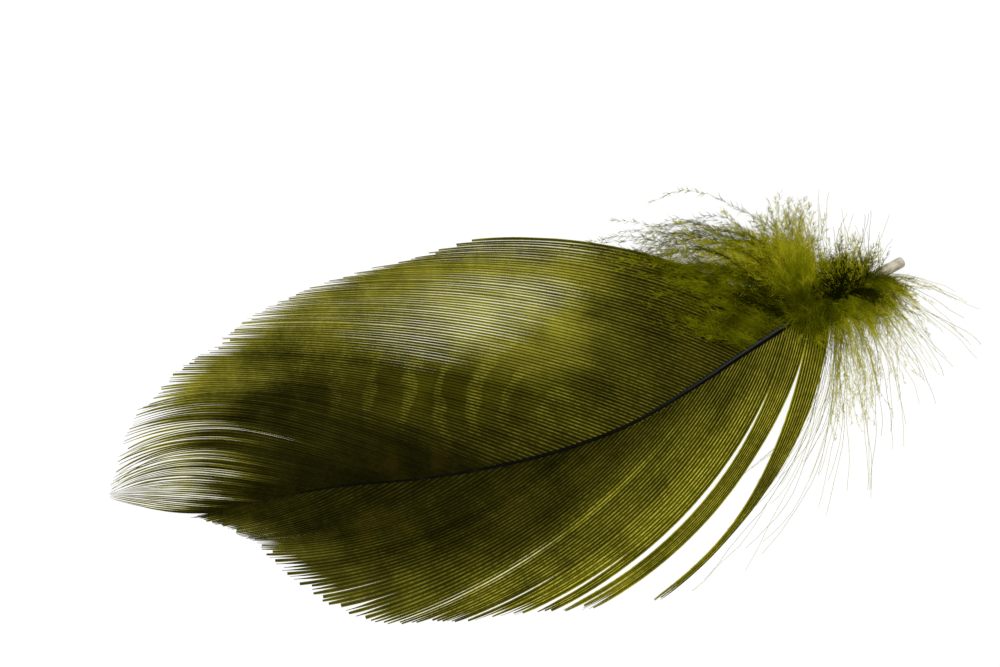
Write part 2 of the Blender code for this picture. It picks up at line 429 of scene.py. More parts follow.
def vane_points(side, distance, share):
    """Points of the vane: along the shaft, then out along a barb."""
    distance, share = np.broadcast_arrays(distance, share)
    root, tip, length = (smooth_values(BARBS[side], distance, c) for c in (1, 2, 3))
    x, y = swept(tuple(shaft_plan(distance)), side, root, tip, length, share)
    down = np.clip(share / LANDING, 0.0, 1.0)
    standing = (smooth_values(STANDING, distance, 1) - ROOT_DROP) * (1 - down) ** 2 * (1 + 2 * down)
    return np.stack([x, y, standing + SHEET], axis=-1)


def barb_roots(side, gap):
    """Distances along the shaft at which barbs leave it, so that they lie evenly in the vane."""
    fine = np.linspace(FIRST_BARB[side], VANE_END, 500)
    spacing = np.zeros(len(fine))
    shares = (0.1, 0.3, 0.5)
    for share in shares:
        here = vane_points(side, fine, share)[:, :2]
        ahead = vane_points(side, fine, share + 0.02)[:, :2] - here
        ahead /= np.linalg.norm(ahead, axis=1, keepdims=True)
        step = np.gradient(here, fine, axis=0)
        spacing += np.abs(step[:, 0] * ahead[:, 1] - step[:, 1] * ahead[:, 0]) / len(shares)
    if side == FAR:
        spacing *= 1 + 0.55 * ease(46, 62, fine)
    passed = np.cumsum(np.maximum(spacing, 0.33)[1:] * np.diff(fine))
    count = np.concatenate([[0.0], passed / gap])
    return np.interp(np.arange(int(count[-1])) + 0.5, count, fine)


def parted(distance, share, partings, strips):
    """Distances along the shaft, once slits have drawn barbs apart and strips gathered them."""
    moved = np.zeros(np.broadcast_shapes(distance.shape, share.shape))
    meeting = 1 - 0.7 * ease(0.70, 1.0, share)
    for first, last, middle, left, narrowest in strips:
        inside = (distance > first) & (distance < last)
        moved = moved + inside * (middle - distance) * (1 - left) * ease(0.02, narrowest, share)
    for at, opens, width, reach in partings:
        beside = np.sign(distance - at) * np.exp(-np.abs(distance - at) / reach)
        opened = width * ease(opens, min(opens + 0.45, 1.0), share)
        moved = moved + beside * (opened * (meeting if opens < 0.1 else 1))
    return distance + moved


def small_partings(side, rng):
    """The fine slits that break the vane's edge into wisps."""
    rows = []
    at = FIRST_BARB[side] + 4
    while at < VANE_END - 2:
        at += rng.uniform(0.9, 2.6)
        opens, width, reach = (rng.uniform(*r) for r in ((0.74, 0.95), (0.03, 0.10), (0.5, 1.0)))
        rows.append((at, opens, width, reach))
    return rows


class Soup:
    """Vertices, faces and named values per vertex, gathered into one mesh."""

    def __init__(self, *names):
        self.points, self.quads, self.triangles = [], [], [np.zeros((0, 3), int)]
        self.values = {name: [] for name in names}
        self.count = 0

    def add(self, points, quads, triangles=None, **values):
        points = points.reshape(-1, 3)
        self.points.append(points)
        for name, gathered in self.values.items():
            gathered.append(values[name].ravel())
        self.quads.append(quads.reshape(-1, 4) + self.count)
        if triangles is not None:
            self.triangles.append(triangles.reshape(-1, 3) + self.count)
        self.count += len(points)

    def build(self, name, material):
        mesh = bpy.data.meshes.new(name)
        points = (np.concatenate(self.points) - CENTRE) * MM
        quads, triangles = np.concatenate(self.quads), np.concatenate(self.triangles)
        corners = np.concatenate([quads.ravel(), triangles.ravel()])
        sizes = np.concatenate([np.full(len(quads), 4), np.full(len(triangles), 3)])
        mesh.vertices.add(len(points))
        mesh.vertices.foreach_set("co", points.ravel())
        mesh.loops.add(len(corners))
        mesh.loops.foreach_set("vertex_index", corners)
        mesh.polygons.add(len(sizes))
        mesh.polygons.foreach_set("loop_start", np.concatenate([[0], np.cumsum(sizes)[:-1]]))
        for label, gathered in self.values.items():
            layer = mesh.attributes.new(label, "FLOAT", "POINT")
            layer.data.foreach_set("value", np.concatenate(gathered))
        mesh.update(calc_edges=True)
        mesh.validate()
        mesh.shade_smooth()
        mesh.materials.append(material)
        return linked(name, mesh)


def linked(name, data):
    """A new object in the scene, with its data."""
    obj = bpy.data.objects.new(name, data)
    bpy.context.scene.collection.objects.link(obj)
    return obj


def uneven(rng, runs, steps, knots, low, high):
    """Values that wander between low and high along each run, smoothly from knot to knot."""
    chosen = rng.uniform(low, high, (*runs, knots + 1))
    at = np.linspace(0, knots - 1e-6, steps)
    first = at.astype(int)
    part = at - first
    return chosen[..., first] * (1 - part) + chosen[..., first + 1] * part


def sheet_quads(runs, steps, across):
    """Quads of runs of cross-sections: every run has steps of rows, across points wide."""
    row = np.arange(across - 1)
    step = np.arange(steps - 1) * across
    run = np.arange(runs) * steps * across
    first = run[:, None, None] + step[None, :, None] + row[None, None, :]
    return np.stack([first, first + 1, first + 1 + across, first + across], axis=-1)


def tube_quads(runs, steps, sides):
    """Quads of runs of closed rings: every run has steps of rings."""
    side = np.arange(sides)
    following = (side + 1) % sides
    run, step = np.arange(runs) * steps * sides, np.arange(steps - 1) * sides
    start = run[:, None, None] + step[None, :, None]
    return np.stack(
        [start + side, start + following, start + following + sides, start + side + sides], axis=-1
    )


def unit(vectors):
    """The same directions, one long."""
    return vectors / np.maximum(np.linalg.norm(vectors, axis=-1, keepdims=True), 1e-9)


def level_across(paths):
    """Unit tangents of paths, and the level directions across them."""
    tangent = unit(np.gradient(paths, axis=1))
    level = np.zeros(tangent.shape[:2])
    return tangent, unit(np.stack([-tangent[..., 1], tangent[..., 0], level], axis=-1))


def keep(obj):
    """Gives a finished piece its place in the frame."""
    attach(obj, "root")
    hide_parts("feather")


class Shader:
    """One material or node group while its nodes are placed and joined."""

    def __init__(self, tree):
        self.tree = tree

    def node(self, kind, inputs=(), **settings):
        made = self.tree.nodes.new(kind)
        for name, value in settings.items():
            setattr(made, name, value)
        self.fill(made, dict(inputs))
        return made

    def fill(self, node, inputs):
        """Gives a node's sockets their links or values."""
        for socket, value in inputs.items():
            self.set(node.inputs[socket], value)

    def set(self, socket, value):
        if isinstance(value, bpy.types.NodeSocket):
            self.tree.links.new(value, socket)
        elif isinstance(value, bpy.types.Node):
            self.tree.links.new(value.outputs[0], socket)
        else:
            socket.default_value = value

    def math(self, operation, a, b=0.0, clamp=False):
        return self.node("ShaderNodeMath", {0: a, 1: b}, operation=operation, use_clamp=clamp)

    def plus(self, a, b):
        return self.math("ADD", a, b)

    def minus(self, a, b):
        return self.math("SUBTRACT", a, b)

    def times(self, a, b, clamp=False):
        return self.math("MULTIPLY", a, b, clamp)

    def mix(self, factor, a, b):
        return self.node("ShaderNodeMix", {0: factor, 6: a, 7: b}, data_type="RGBA").outputs[2]

    def range(self, value, low, high, to_low=0.0, to_high=1.0):
        inputs = dict(enumerate((value, low, high, to_low, to_high)))
        return self.node("ShaderNodeMapRange", inputs, interpolation_type="SMOOTHSTEP").outputs[0]

    def attribute(self, name):
        return self.node("ShaderNodeAttribute", attribute_name=name).outputs["Fac"]

    def placed(self, tree, inputs):
        """What a node group gives here."""
        return self.node("ShaderNodeGroup", inputs, node_tree=tree).outputs[0]

    def dyed(self, rgb, patches, strength, strand):
        """A colour as uneven_dye lets it drift."""
        inputs = {"Colour": rgb, "Patches per mm": patches, "Strength": strength, "Strand": strand}
        return self.placed(uneven_dye(), inputs)


def colour(rgb):
    """A colour of the settings, as a socket takes it."""
    return (*rgb, 1.0)


def group(name, inputs, outputs):
    """A new node group with its sockets, as the group, its shader, and the two ends."""
    tree = bpy.data.node_groups.new(name, "ShaderNodeTree")
    for label, (kind, default) in inputs.items():
        socket = tree.interface.new_socket(label, in_out="INPUT", socket_type=kind)
        socket.default_value = default
    for label, kind in outputs.items():
        tree.interface.new_socket(label, in_out="OUTPUT", socket_type=kind)
    shader = Shader(tree)
    return tree, shader, shader.node("NodeGroupInput"), shader.node("NodeGroupOutput")


FLOAT, COLOUR = "NodeSocketFloat", "NodeSocketColor"
BROWN_DYE = (0.10, 0.055, 0.004, 1.0)
# Bluish grey of the highlight painted along one side of the shaft
SHAFT_HIGHLIGHT = (0.052, 0.055, 0.064, 1.0)


def uneven_dye():
    """Group: a colour that drifts lighter, darker and browner, as dye takes on keratin."""
    if "uneven_dye" in bpy.data.node_groups:
        return bpy.data.node_groups["uneven_dye"]
    tree, shader, into, out = group(
        "uneven_dye",
        {
            "Colour": (COLOUR, (0.1, 0.1, 0.01, 1.0)),
            "Patches per mm": (FLOAT, 0.3),
            "Strength": (FLOAT, 0.3),
            "Strand": (FLOAT, 0.5),
        },
        {"Colour": COLOUR},
    )
    place = shader.node("ShaderNodeTexCoord").outputs["Object"]
    scale = shader.times(into.outputs["Patches per mm"], 1 / MM)
    noise = shader.node("ShaderNodeTexNoise", {"Vector": place, "Scale": scale, "Detail": 4.0})
    patches = shader.range(noise.outputs["Fac"], 0.32, 0.68)
    strand = shader.minus(into.outputs["Strand"], 0.5)
    swing = shader.plus(shader.minus(patches, 0.5), shader.times(strand, 0.7))
    amount = shader.times(swing, into.outputs["Strength"])
    bright = shader.plus(shader.times(amount, 2.0), 1.0)
    shading = {"Color": into.outputs["Colour"], "Value": bright}
    shaded = shader.node("ShaderNodeHueSaturation", shading)
    brown = shader.mix(0.5, shaded, BROWN_DYE)
    browned = shader.times(shader.range(patches, 0.9, 1.0), 0.15)
    shader.set(out.inputs["Colour"], shader.mix(browned, shaded, brown))
    return tree


def fine_ribs():
    """Group: the height of fine ribs that lie across a strand, like barbules on a barb."""
    if "fine_ribs" in bpy.data.node_groups:
        return bpy.data.node_groups["fine_ribs"]
    tree, shader, into, out = group(
        "fine_ribs",
        {
            "Along mm": (FLOAT, 0.0),
            "Across": (FLOAT, 0.0),
            "Ribs per mm": (FLOAT, 10.0),
            "Lean": (FLOAT, 1.0),
        },
        {"Height": FLOAT},
    )
    lean = shader.times(shader.math("ABSOLUTE", into.outputs["Across"]), into.outputs["Lean"])
    place = shader.times(into.outputs["Along mm"], into.outputs["Ribs per mm"])
    wave = shader.math("SINE", shader.times(shader.minus(place, lean), 2 * np.pi))
    shader.set(out.inputs["Height"], shader.plus(shader.times(wave, 0.5), 0.5))
    return tree


def material(name):
    """A new material, its shader and its Principled BSDF."""
    made = bpy.data.materials.new(name)
    made.use_nodes = True
    return made, Shader(made.node_tree), made.node_tree.nodes["Principled BSDF"]


def vane_keratin(dye):
    """Dyed barbs: a dark ridge, an olive web either side of it, and a web edge that glows."""
    if "vane_keratin" in bpy.data.materials:
        return bpy.data.materials["vane_keratin"]
    made, shader, bsdf = material("vane_keratin")
    across, barb, light = (shader.attribute(n) for n in ("across", "barb", "light"))
    place = shader.node("ShaderNodeTexCoord").outputs["Object"]
    turned = shader.node(
        "ShaderNodeMapping", {"Vector": place, "Location": BAR_CENTRE}, vector_type="TEXTURE"
    )
    rings = shader.node(
        "ShaderNodeTexWave",
        {
            "Vector": turned,
            "Scale": 0.088 / MM,
            "Distortion": 3.4,
            "Detail": 3.0,
            "Detail Scale": 2.5,
        },
        wave_type="RINGS",
        rings_direction="Z",
    ).outputs["Fac"]
    barred = shader.times(shader.range(rings, 0.95, 0.62), shader.attribute("barring"))
    edge = shader.math("ABSOLUTE", across)
    broken = shader.node(
        "ShaderNodeTexNoise", {"Vector": place, "Scale": 2.2 / MM, "Detail": 2.0, "Roughness": 0.6}
    ).outputs["Fac"]
    dashes = shader.plus(shader.times(shader.range(broken, 0.30, 0.66), 0.8), 0.2)
    glow = shader.times(shader.times(shader.range(edge, 0.55, 0.92), light), dashes)
    glow = shader.times(glow, shader.minus(1.0, barred), clamp=True)
    closed = shader.mix(barred, colour(dye.web), colour(dye.bar))
    tone = shader.attribute("tone")
    toned = shader.node("ShaderNodeVectorMath", {0: closed, "Scale": tone}, operation="SCALE")
    thin = shader.times(shader.plus(shader.times(barred, -0.35), 1.0), shader.attribute("sheer"))
    web = shader.mix(glow, shader.mix(thin, toned, colour(dye.sheer)), colour(dye.glow))
    ridge = shader.range(edge, 0.20, 0.42, 1.0, 0.0)
    faded = shader.range(shader.attribute("sheer"), 0.2, 1.0, 1.0, 0.7)
    ridged = shader.mix(shader.times(ridge, faded), web, colour(dye.barb))
    ribs = {"Along mm": shader.attribute("run"), "Across": across, "Ribs per mm": 7.0, "Lean": 1.4}
    raised = shader.placed(fine_ribs(), ribs)
    bump = {"Strength": 0.35, "Distance": 0.02 * MM, "Height": raised}
    shader.fill(
        bsdf,
        {
            "Base Color": shader.dyed(ridged, 0.22, 0.30, barb),
            "Normal": shader.node("ShaderNodeBump", bump),
            "Roughness": shader.range(ridge, 0.0, 1.0, 0.70, 0.55),
            "Specular IOR Level": 0.01,
        },
    )
    return made


def down_keratin(dye):
    """Dyed down: nearly black roots of painted shade, vivid olive, sheer outer hairs, a faint
    painted glow.
    """
    if "down_keratin" in bpy.data.materials:
        return bpy.data.materials["down_keratin"]
    made, shader, bsdf = material("down_keratin")
    depth = shader.attribute("depth")
    full = shader.dyed(colour(dye.down), 0.35, 0.50, shader.attribute("strand"))
    # Low depth gives the near-black root, painted shade in thick down; high depth gives the pale
    # tip colour, painted light through the outer hairs.
    dyed = shader.mix(shader.range(depth, 0.0, 0.5), colour(dye.down_root_shade), full)
    dyed = shader.mix(shader.range(depth, 0.45, 1.0), dyed, colour(dye.down_tip))
    shader.fill(
        bsdf,
        {
            "Base Color": dyed,
            # Emitting the down's own colour is a painted glow, standing in for light that comes
            # through the hairs.
            "Emission Color": dyed,
            "Emission Strength": 0.30,
            "Roughness": 0.8,
            "Specular IOR Level": 0.0,
        },
    )
    return made


def shaft_keratin(dye):
    """Dyed shaft: bare and pale at the quill, then nearly black with a soft sheen and a painted
    bluish highlight along one side near the root.
    """
    made, shader, bsdf = material("shaft_keratin")
    run, around = shader.attribute("run"), shader.attribute("around")
    place = shader.node("ShaderNodeCombineXYZ", {0: shader.times(run, 0.35), 1: around})
    streaks = shader.node(
        "ShaderNodeTexNoise", {"Vector": place, "Scale": 3.0, "Detail": 5.0, "Roughness": 0.6}
    ).outputs["Fac"]
    dyed = shader.dyed(colour(dye.shaft), 0.5, 0.4, streaks)
    bare = shader.dyed(colour(dye.quill), 1.2, 0.35, streaks)
    # A painted highlight: a bluish band along one side of the shaft, fading out along it from the
    # root.
    painted_highlight = shader.times(
        shader.range(around, 0.68, 0.84), shader.range(around, 0.92, 0.99, 1.0, 0.0)
    )
    painted_highlight = shader.times(painted_highlight, shader.range(run, 12.0, 34.0, 0.9, 0.0))
    dyed = shader.mix(painted_highlight, dyed, SHAFT_HIGHLIGHT)
    fade = shader.range(shader.plus(run, shader.times(streaks, 1.4)), 3.4, 5.6)
    bump = {"Strength": 0.3, "Distance": 0.03 * MM, "Height": streaks}
    shader.fill(
        bsdf,
        {
            "Base Color": shader.mix(fade, bare, dyed),
            "Normal": shader.node("ShaderNodeBump", bump),
            "Roughness": shader.range(streaks, 0.3, 0.7, 0.34, 0.5),
            "Specular IOR Level": 0.03,
        },
    )
    return made


def surface_white():
    """The plain white surface, bright enough to read as paper under a photographer's lights."""
    made, shader, bsdf = material("surface_white")
    grain = shader.node("ShaderNodeTexNoise", {"Scale": 900.0, "Detail": 2.0})
    tone = shader.range(grain.outputs["Fac"], 0.0, 1.0, 0.10, 0.14)
    shader.fill(
        bsdf,
        {
            "Base Color": shader.node("ShaderNodeCombineColor", {0: tone, 1: tone, 2: tone}),
            "Roughness": 0.9,
            "Emission Color": (1.0, 1.0, 1.0, 1.0),
            "Emission Strength": 0.90,
        },
    )
    return made


def make_shaft(dye):
    """A tapering round shaft with a blunt quill end."""
    rings, nose_rings, sides = 190, 7, 20
    blunt, end = 0.35, SHAFT_SECTIONS[-1][0]
    rounded = blunt * (1 - np.cos(np.linspace(0, np.pi / 2, nose_rings + 1)))
    distance = np.concatenate([rounded[:-1], np.linspace(blunt, end, rings - nose_rings)])
    x, y = shaft_plan(distance)
    z = smooth_values(SHAFT_SECTIONS, distance, 1)
    radius = smooth_values(SHAFT_SECTIONS, distance, 2)
    nose = np.sqrt(np.clip(1 - (1 - np.minimum(distance / blunt, 1)) ** 2, 0, 1))
    radius = radius * (0.25 + 0.75 * nose)
    path = np.stack([x, y, z], axis=-1)[None]
    _, across = level_across(path)
    turn = np.arange(sides) * 2 * np.pi / sides
    out = across[0][:, None, :] * (np.cos(turn)[None, :, None] * radius[:, None, None])
    up = np.sin(turn)[None, :] * radius[:, None]
    points = path[0][:, None, :] + out
    points[..., 2] = np.maximum(points[..., 2] + up, LOWEST_TUBE)
    caps = []
    for first in (0, (rings - 1) * sides):
        caps += [(first, first + k, first + k + 1) for k in range(1, sides - 1)]
    soup = Soup("run", "around")
    soup.add(
        points,
        quads=tube_quads(1, rings, sides),
        triangles=np.array(caps),
        run=np.repeat(distance, sides),
        around=np.tile(np.abs(np.sin(turn / 2)), rings),
    )
    keep(soup.build("shaft", shaft_keratin(dye)))


# Points across a barb: share of the way to the web's edge, height over it in web droops.
# Those nearer than WEB_STARTS are on the barb's own shaft, and as wide apart as it is thick.
BARB_ACROSS = np.array((-1.0, -0.62, -0.27, 0.0, 0.27, 0.62, 1.0))
BARB_HEIGHT = np.array((0.0, 0.55, 0.9, 2.1, 0.9, 0.55, 0.0))
WEB_STARTS = 0.5
# A web reaches no further than this share of the usual gap, so that none stretches over a slit
WEB_REACH = 0.70


def tone(side, distance, share):
    """How light the closed web is: dark along the shaft and towards the tip."""
    if side == NEAR:
        value = 2.2 - 1.05 * ease(13, 20, distance) - 0.68 * ease(19, 30, distance)
        value -= 0.26 * ease(30, 46, distance)
        value *= 0.82 + 0.18 * ease(0, 0.25, share)
        # Along the seam the web is painted lighter, for the light that comes through it.
        seam = bell(distance, SEAM, 0.6) * ease(0.05, 0.4, share)
        return np.where(distance < LAST_STRIP_END, 2.6, value + 1.5 * seam)
    outer = 0.40 + 0.18 * (1 - ease(50, 54, distance))
    outer = outer * ease(0.62, 0.82, share) * ease(34, 42, distance)
    inner = 0.26 * ease(26, 31, distance) * (1 - ease(42, 50, distance))
    inner = inner * (1 - ease(0.34, 0.56, share))
    value = 0.64 + 0.20 * (1 - ease(13, 24, distance)) - 0.54 * ease(35, 50, distance)
    value = value * (1 - 0.28 * (1 - ease(0.08, 0.28, share)))
    return value - 0.14 * bell(distance, 39, 6) * ease(0.4, 0.55, share) + outer + inner


def tip_spread(distance, share):
    """Where the far barbs stand free of each other towards the tip, from 0 to 1."""
    start = 0.56 - 0.36 * ease(56, 68, distance)
    return ease(start, start + 0.52, share) * ease(46, 56, distance)


def sheer(side, distance, share):
    """How much light comes through the web, from 0 to 1, over the vane."""
    if side == NEAR:
        return 0.20 * ease(0.65, 1.0, share) * ease(16, 30, distance)
    start = 0.08 + 0.22 * (1 - ease(16, 26, distance))
    most = ease(11, 18, distance) * (1 - 0.5 * ease(22, 29, distance))
    most = most * (1 - 0.9 * ease(29, 34, distance))
    end = 0.45 * ease(0.84, 1.0, share) + 0.40 * ease(0.64, 0.90, share) * ease(32, 42, distance)
    end = end + 0.30 * ease(0.80, 0.92, share) * (1 - ease(28, 36, distance))
    inner = ease(start, start + 0.38, share) * (1 - 0.48 * ease(0.45, 0.70, share))
    return np.maximum(most * inner, end)


def openness(side, distance, share):
    """How far the barbs stand apart, from 0, closed, to 1, over the vane."""
    if side == NEAR:
        value = 0.12 * ease(0.5, 0.95, share) + 0.16 * ease(0.88, 1.0, share)
        value = value + 0.5 * bell(distance, SEAM, 0.7) * ease(0.3, 0.7, share)
        return np.where(distance < FIRST_STRIP_END, 0.1 * ease(0.5, 1.0, share), value)
    middle = 0.52 * ease(0.26, 0.52, share) * ease(15, 20, distance)
    middle = middle * (1 - 0.9 * ease(27, 37, distance)) * (1 - 0.6 * ease(0.5, 0.8, share))
    upper = 0.45 * ease(0.35, 0.7, share) * (1 - ease(14, 18, distance))
    outer = 0.10 * ease(0.60, 0.82, share) * ease(32, 40, distance)
    return middle + upper + outer + tip_spread(distance, share) + 0.35 * ease(0.88, 1.0, share)


def barring(side, distance, share):
    """How strongly the dark bars show over the vane."""
    if side == NEAR:
        return 0.30 * ease(0.05, 0.3, share) * ease(24, 34, distance)
    return 0.10 + 0.90 * (bell(share, 0.38, 0.24) * bell(distance, 38, 10))


def make_vane(name, settings, dye):
    """One side of the vane: every barb a ridge with a web on either side."""
    side = SIDES[name]
    rng = np.random.default_rng(VANE_SEED + side)
    gap, steps = settings.gap / MM, settings.steps
    roots = barb_roots(side, gap)
    roots = roots[:, None] + rng.normal(0, 0.02, (len(roots), 1))
    count = len(roots)
    tucked = TUCK / smooth_values(BARBS[side], roots, 3)
    frayed = 0.07 * (side == FAR) * (1 - ease(14, 20, roots))
    ends = 1 - np.abs(rng.normal(0, 0.012, (count, 1))) - frayed * rng.uniform(0, 1, (count, 1))
    share = -tucked + (ends + tucked) * np.linspace(0, 1, steps)[None, :]
    slits = (*PARTINGS[side], *small_partings(side, rng))
    distance = parted(roots, share, slits, STRIPS[side])
    loose = 0.07 + 0.12 * ease(50, 66, roots)
    distance = distance + rng.normal(0, 1, (count, 1)) * ease(0.3, 1.0, share) * loose
    paths = vane_points(side, distance, share)
    if side == FAR:
        knots = np.arange(0, 90, 1.6)
        clumps = np.interp(roots, knots, rng.uniform(0.7, 1.2, len(knots)))
        clumps = clumps + rng.normal(0, 0.08, (count, 1))
        bend = clumps * ease(36, 52, distance) * (1 - ease(60, 74, distance))
        hook = 2.6 * np.clip((share - 0.5) / 0.5, 0, 1) ** 2
        paths[..., 1] += bend * (5.4 * share**2 * (1 - share) - hook)
    paths[..., 2] += rng.uniform(0.0, 0.05, (count, 1)) * ease(0.0, 0.2, share)

    tangent = unit(np.gradient(paths, axis=1))
    gaps = np.empty((2, count, steps, 3))
    gaps[0, 1:] = paths[:-1] - paths[1:]
    gaps[0, 0] = paths[0] - paths[1]
    gaps[1, :-1] = paths[1:] - paths[:-1]
    gaps[1, -1] = paths[-1] - paths[-2]
    gaps -= (gaps * tangent).sum(-1, keepdims=True) * tangent
    reach = np.linalg.norm(gaps, axis=-1, keepdims=True) / 2
    pointed = 0.06 + 0.14 * (side == FAR) * ease(40, 58, roots)
    bare = (share - rng.uniform(0.95, 1.04, (count, 1)) + pointed) / (0.04 + pointed)
    early = rng.normal(0.0, 0.11, (count, 1)) * ease(44, 54, roots)
    gaping = np.clip(openness(side, distance, share + early), 0, 1)[..., None]
    ragged = uneven(rng, (2, count), steps, steps // 6, 0.35, 1.0)[..., None]
    cover = settings.web_cover * (1.12 - 0.70 * gaping * ragged)
    cover = cover * (1 - 0.85 * ease(0.0, 1.0, bare)[..., None])
    sideways = unit(gaps) * (np.minimum(reach, gap * WEB_REACH) * cover)

    ridge = settings.quill_width / MM * (1 - 0.8 * share)[..., None] / 2
    droop = settings.web_droop / MM
    points = np.empty((count, steps, len(BARB_ACROSS), 3))
    for k, (out, height) in enumerate(zip(BARB_ACROSS, BARB_HEIGHT)):
        way = sideways[0] if out < 0 else sideways[1]
        if abs(out) < WEB_STARTS:
            inside = np.minimum(ridge, np.linalg.norm(way, axis=-1, keepdims=True))
            offset = unit(way) * inside * (abs(out) > 0)
        else:
            offset = way * abs(out)
        points[:, :, k] = paths + offset
        points[:, :, k, 2] += droop * height * (1 - 0.5 * share)
    points[..., 2] = np.maximum(points[..., 2], LOWEST_WEB)

    spread = (count, steps, len(BARB_ACROSS))

    def each(values):
        return np.broadcast_to(values[..., None], spread)

    lit = (side == FAR) * tip_spread(distance, share + 0.04 + early)
    lit = lit * rng.uniform(0.55, 1.0, (count, 1))
    lightness = tone(side, distance, share)
    soup = Soup("across", "barb", "run", "tone", "sheer", "light", "barring")
    soup.add(
        points,
        quads=sheet_quads(count, steps, len(BARB_ACROSS)),
        across=np.broadcast_to(BARB_ACROSS, spread),
        barb=each(rng.uniform(0, 1, (count, 1))),
        run=each(share * smooth_values(BARBS[side], distance, 3)),
        tone=each(lightness),
        sheer=each(np.maximum(sheer(side, distance, share), lit)),
        light=each(np.clip(0.5 * lightness + 0.5 * gaping[..., 0], 0, 1)),
        barring=each(barring(side, distance, share)),
    )
    keep(soup.build(f"{name}_vane", vane_keratin(dye)))


def strand_paths(rng, table, side, count, stray, wavy):
    """Paths of strands of down in one patch, each wavering away from the patch's own sweep."""
    first, last = table[0][0], table[-1][0]
    station = np.linspace(first, last, count) + rng.normal(0, (last - first) / count + 0.15, count)
    station = station[:, None]
    share = np.linspace(0, 1, STRAND_STEPS)[None, :]
    root, tip, length, rise = (smooth_values(table, station, c) for c in (1, 2, 3, 4))
    root = root + rng.normal(0, 0.5 * stray, (count, 1))
    tip = tip + rng.normal(0, stray, (count, 1))
    length = length * rng.beta(3.2, 1.5, (count, 1)) * 1.04
    x, y = swept(tuple(shaft_plan(station)), side, root, tip, length, share)
    paths = np.stack([x, y, np.zeros_like(x)], axis=-1)
    _, across = level_across(paths)
    for waves, size in ((1.2, 0.045), (3.1, 0.016), (7.0, 0.004)):
        phase = rng.uniform(0, 2 * np.pi, (count, 1))
        turns = 2 * np.pi * waves * share * rng.uniform(0.7, 1.3, (count, 1))
        shift = np.sin(turns + phase) - np.sin(phase)
        paths += across * (shift * size * wavy * length * share)[..., None]
    start = smooth_values(STANDING, station, 1) + 0.25 * rng.uniform(-0.5, 1.0, (count, 1))
    lift = rise * rng.uniform(0.1, 1.25, (count, 1)) * 4 * share * (1 - share)
    fall = start * (1 - share) ** 1.3 + rng.uniform(0.03, 0.6, (count, 1)) * share
    run = share * length / smooth_values(BARBS[side], station, 3)
    sheet = vane_points(side, station, run)[..., 2] + rng.uniform(0.12, 0.5, (count, 1))
    paths[..., 2] = np.clip((sheet if side == FAR else fall) + lift, 0.03, STRAND_TOP)
    return paths, length, share


def tangled_paths(rng, table, side, count):
    """Paths of short curled strands that lie tangled over the quill and hide it."""
    first, last = table[0][0], table[-1][0]
    station = np.linspace(first, last, count)[:, None] + rng.normal(0, 0.3, (count, 1))
    share = np.linspace(0, 1, TANGLE_STEPS)[None, :]
    root, tip, length, rise = (smooth_values(table, station, c) for c in (1, 2, 3, 4))
    root = root + rng.normal(0, 45, (count, 1))
    tip = root + (tip - root) * 0.4 + rng.normal(0, 70, (count, 1))
    length = length * rng.uniform(0.5, 1.1, (count, 1))
    x, y = swept(tuple(shaft_plan(station)), side, root, tip, length, share)
    x, y = x + rng.normal(0, 0.5, (count, 1)), y + rng.normal(0, 0.45, (count, 1))
    top = smooth_values(STANDING, station, 1) + rng.uniform(0.4, 1.1, (count, 1))
    lift = rise * rng.uniform(0.4, 1.0, (count, 1)) * 3.2 * share * (1 - share)
    z = np.clip(top * (1 - share * 0.6) + lift, 0.1, STRAND_TOP)
    return np.stack([x, y, z], axis=-1), length, share


def add_strands(soup, paths, share, width, taper, strand, depth):
    """The strands themselves, as thin tapering three-sided tubes."""
    count, steps = paths.shape[:2]
    sides = 3
    _, across = level_across(paths)
    radius = np.broadcast_to(width / 2 * (1 - taper * share), (count, steps))[..., None]
    turn = np.arange(sides) * 2 * np.pi / sides
    points = paths[:, :, None, :] + across[:, :, None, :] * (np.cos(turn) * radius)[..., None]
    points[..., 2] = np.maximum(points[..., 2] + np.sin(turn) * radius, LOWEST_TUBE)
    soup.add(
        points,
        quads=tube_quads(count, steps, sides),
        depth=np.repeat(np.broadcast_to(depth, (count, steps)).ravel(), sides),
        strand=np.repeat(strand, steps * sides),
    )


# How much paler a hair is than its strand, at its points from root to tip
PALER = np.array((1.0, 1.0, 1.15, 1.15, 1.35, 1.35, 1.6))


